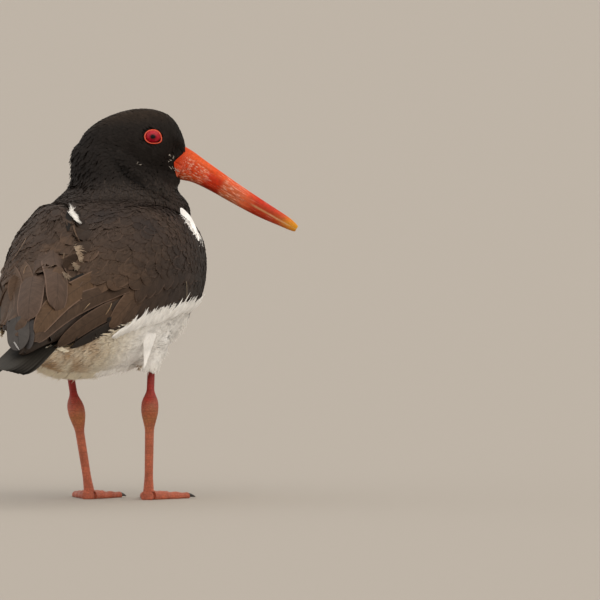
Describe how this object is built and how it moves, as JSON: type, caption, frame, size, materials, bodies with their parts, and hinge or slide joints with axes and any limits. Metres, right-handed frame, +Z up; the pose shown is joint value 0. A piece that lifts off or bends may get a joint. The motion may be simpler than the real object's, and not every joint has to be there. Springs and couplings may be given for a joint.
{
  "type": "oystercatcher",
  "caption": "Life-size model of a standing oystercatcher, a dark and white wader with a long orange bill, looking back over its right shoulder.",
  "frame": {"origin": "middle of the bounding box, on the floor under the bird", "axes": "+X towards the breast, along the bird's length; +Y the bird's left; +Z up"},
  "size_m": [0.2702, 0.1528, 0.2233],
  "materials": {
    "black_plumage": "brown-black feathers, soft and matt",
    "brown_plumage": "dark brown wing feathers with a faint satin sheen and paler worn edges",
    "white_plumage": "white feathers, buff towards the vent",
    "orange_bill": "orange-red horn, satin, amber towards the tip",
    "red_eye": "wet, crimson iris with a round black pupil and an orange-red rim",
    "pink_leg": "crimson to orange-pink scaled skin",
    "dark_claw": "blunt dark horn"
  },
  "bodies": {
    "root": {"trunk": "white_plumage", "neck": "black_plumage", "head": "black_plumage", "bill_upper": "orange_bill", "bill_lower": "orange_bill", "eye_left": "red_eye", "eye_right": "red_eye", "wing_left": "brown_plumage", "wing_right": "brown_plumage", "wing_point_left": "brown_plumage", "wing_point_right": "brown_plumage", "tail": "black_plumage", "thigh_left": "white_plumage", "thigh_right": "white_plumage", "shank_left": "pink_leg", "shank_right": "pink_leg", "inner_toe_left": "pink_leg", "middle_toe_left": "pink_leg", "outer_toe_left": "pink_leg", "inner_toe_right": "pink_leg", "middle_toe_right": "pink_leg", "outer_toe_right": "pink_leg", "claw_inner_toe_left": "dark_claw", "claw_middle_toe_left": "dark_claw", "claw_outer_toe_left": "dark_claw", "claw_inner_toe_right": "dark_claw", "claw_middle_toe_right": "dark_claw", "claw_outer_toe_right": "dark_claw"}
  },
  "joints": []
}
